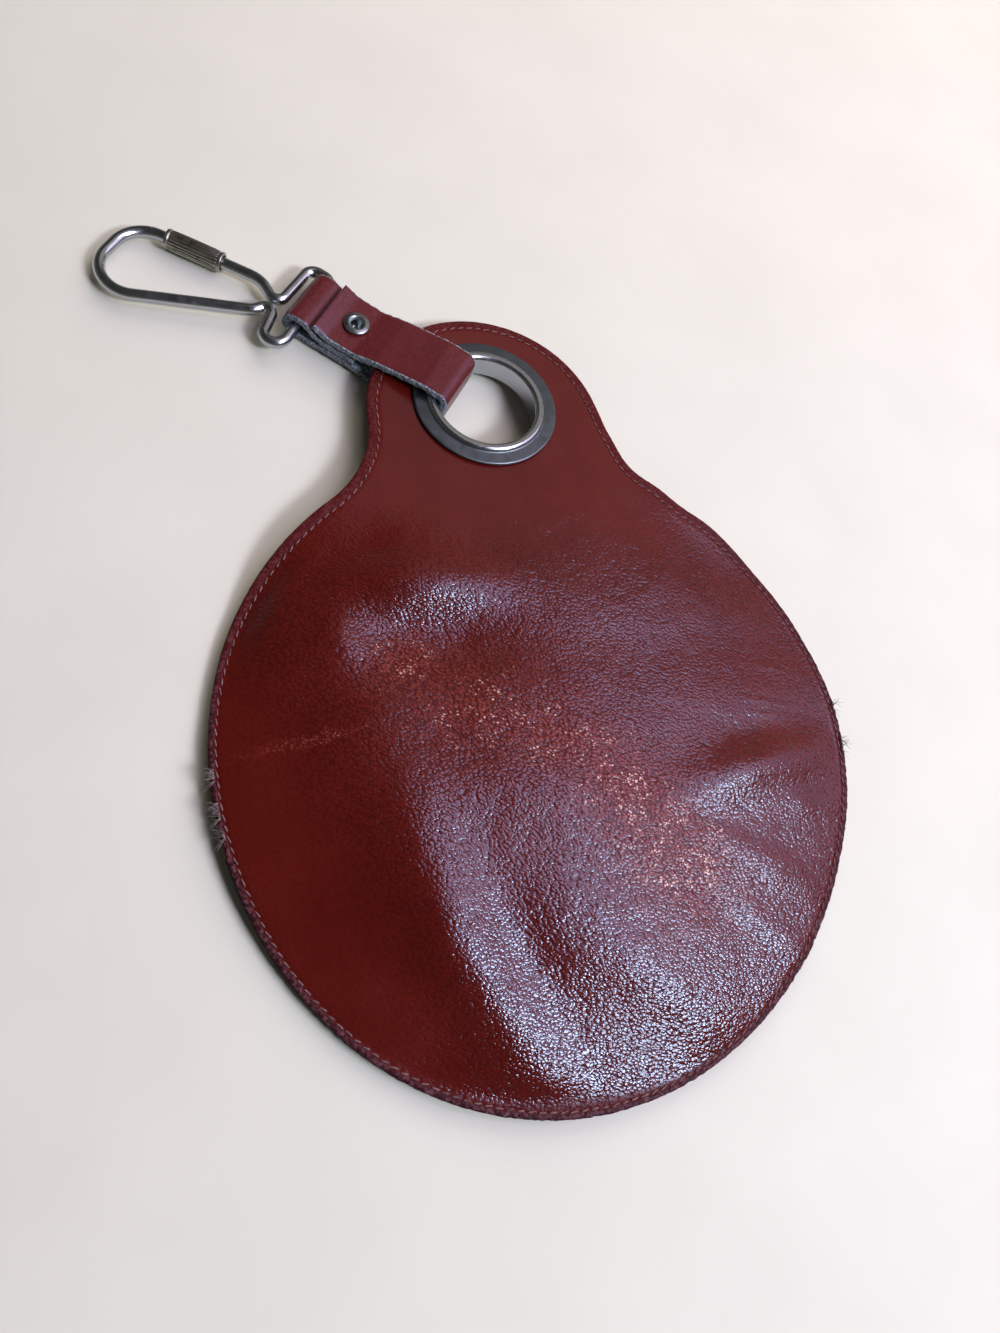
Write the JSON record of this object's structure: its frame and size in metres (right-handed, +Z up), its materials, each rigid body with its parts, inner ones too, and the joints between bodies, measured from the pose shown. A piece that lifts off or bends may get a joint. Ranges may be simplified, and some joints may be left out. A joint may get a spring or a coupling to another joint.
{
  "type": "round coin purse",
  "caption": "Round flat leather coin purse with a short neck, a metal grommet and a riveted strap that holds a wire clip with a sliding sleeve; it lies on its back and holds coins.",
  "frame": {"origin": "middle of the round body, on the plane that the purse rests on", "axes": "+Z up out of the front, +Y from the round body to the neck, +X to the right seen from the front"},
  "size_m": [0.1363, 0.1795, 0.0105],
  "materials": {
    "leather": "pebbled, waxed sheen",
    "strap_leather": "smooth, raw cut edges",
    "zip_tape": "woven, matte",
    "dark_nickel": "dull, worn",
    "nickel": "polished, worn"
  },
  "bodies": {
    "purse": {"front_panel": "leather", "back_panel_upper": "leather", "back_panel_lower": "leather", "zip": "zip_tape", "grommet": "dark_nickel", "strap": "strap_leather", "rivet": "nickel"},
    "clip": {"clip_wire": "nickel"},
    "sleeve": {"clip_sleeve": "nickel"}
  },
  "joints": [
    {"name": "clip_swing", "type": "hinge", "parent": "purse", "child": "clip", "pos_m": [-0.03224, 0.09746, 0.0033], "axis": [0.6211, 0.7837, 0], "range_deg": [0, 120]},
    {"name": "sleeve_slide", "type": "slide", "parent": "clip", "child": "sleeve", "axis": [0.8685, -0.4944, 0.0356], "range_m": [0, 0.006]}
  ]
}
